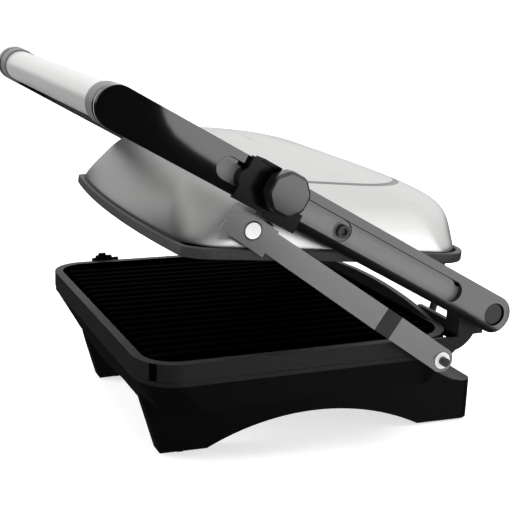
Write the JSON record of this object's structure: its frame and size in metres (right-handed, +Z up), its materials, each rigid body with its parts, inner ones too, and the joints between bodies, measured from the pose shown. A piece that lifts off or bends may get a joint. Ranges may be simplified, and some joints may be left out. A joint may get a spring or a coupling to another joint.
{
  "type": "panini press",
  "caption": "Panini press with two ribbed plates, a floating lid carried by a U-shaped lever handle, a levelling link and a sliding height lock.",
  "frame": {"origin": "on the table, under the middle of the lower plate's rim outline", "axes": "+Z up; -Y towards the user, where the handle is; +Y towards the hinge and the cord inlet; +X towards the side with the link and the height lock"},
  "size_m": [0.3414, 0.3398, 0.2865],
  "materials": {
    "cast_grey": "dark grey textured coating on cast metal",
    "plate_black": "black non-stick coating",
    "moulded_black": "satin black moulding",
    "gloss_black": "gloss black paint",
    "black_phenolic": "hard satin black moulding",
    "brushed_steel": "brushed stainless",
    "handle_steel": "satin stainless tube",
    "collar_grey": "satin light grey",
    "link_steel": "dark satin steel",
    "zinc_steel": "zinc-plated",
    "dark_steel": "black-finished steel",
    "white_nylon": "white nylon",
    "reflector_sheet": "bright sheet",
    "element_sheath": "dull sheath",
    "control_metal": "plated",
    "rubber": "matt",
    "terminal_polymer": "ivory"
  },
  "bodies": {
    "base": {"pedestal": "moulded_black", "rubber_feet": "rubber", "pedestal_screws": "zinc_steel", "lower_housing": "moulded_black", "lower_trim_ring": "cast_grey", "lower_plate": "cast_grey", "lower_element": "element_sheath", "lower_reflector": "reflector_sheet", "lower_thermostat": "control_metal", "thermal_cutout": "control_metal", "terminal_block": "terminal_polymer", "cord_gland": "black_phenolic", "hinge_bracket_right": "cast_grey", "hinge_bracket_left": "cast_grey", "bracket_screws": "zinc_steel", "hinge_axles": "dark_steel", "hinge_bushes": "black_phenolic", "link_base_pin": "dark_steel", "link_spacer": "black_phenolic", "retaining_clip": "zinc_steel", "latch_guide": "moulded_black", "latch_spring": "zinc_steel", "lower_cable_gland": "black_phenolic", "feed_cable": "rubber"},
    "arms": {"arm_right": "gloss_black", "arm_left": "gloss_black", "handle_tube": "handle_steel", "handle_collars": "collar_grey", "handle_rod": "zinc_steel", "handle_nuts": "zinc_steel"},
    "lid": {"lid_shell": "brushed_steel", "lid_trim": "cast_grey", "upper_plate": "plate_black", "upper_element": "element_sheath", "upper_reflector": "reflector_sheet", "upper_thermostat": "control_metal", "lid_bracket_right": "zinc_steel", "lid_bracket_left": "zinc_steel", "lid_bracket_screws": "zinc_steel", "lid_pivot_screws": "dark_steel", "lid_pivot_bushes": "black_phenolic", "upper_cable_gland": "black_phenolic"},
    "link": {"link_bar": "link_steel", "link_lid_pin": "white_nylon", "link_lid_bush": "black_phenolic"},
    "slider": {"lock_slider": "black_phenolic", "lock_screw": "zinc_steel"},
    "knob": {"lock_knob": "black_phenolic"},
    "latch": {"release_latch": "black_phenolic"}
  },
  "joints": [
    {"name": "arm_hinge", "type": "hinge", "parent": "base", "child": "arms", "pos_m": [0, 0.1451, 0.111], "axis": [-1, 0, 0], "range_deg": [-26.2, 32], "deforming": ["feed_cable"]},
    {"name": "lid_hinge", "type": "hinge", "parent": "arms", "child": "lid", "pos_m": [0, 0.01227, 0.18282], "axis": [-1, 0, 0], "range_deg": [-26.5, 22]},
    {"name": "link_hinge", "type": "hinge", "parent": "base", "child": "link", "pos_m": [0, 0.1053, 0.0762], "axis": [-1, 0, 0], "range_deg": [-23.5, 28.6]},
    {"name": "slider_slide", "type": "slide", "parent": "arms", "child": "slider", "axis": [0, -0.8796, 0.4756], "range_m": [-0.026, 0.016]},
    {"name": "knob_turn", "type": "hinge", "parent": "slider", "child": "knob", "pos_m": [0.17, -0.04108, 0.21576], "axis": [1, 0, 0], "range_deg": [0, 90]},
    {"name": "latch_press", "type": "slide", "parent": "base", "child": "latch", "axis": [0, 0, -1], "range_m": [0, 0.004], "stiffness_N_per_m": 300, "deforming": ["latch_spring"]}
  ],
  "couplings": [
    {"joint": "lid_hinge", "follows": "arm_hinge", "ratio": -0.81678},
    {"joint": "link_hinge", "follows": "arm_hinge", "ratio": 0.89}
  ]
}
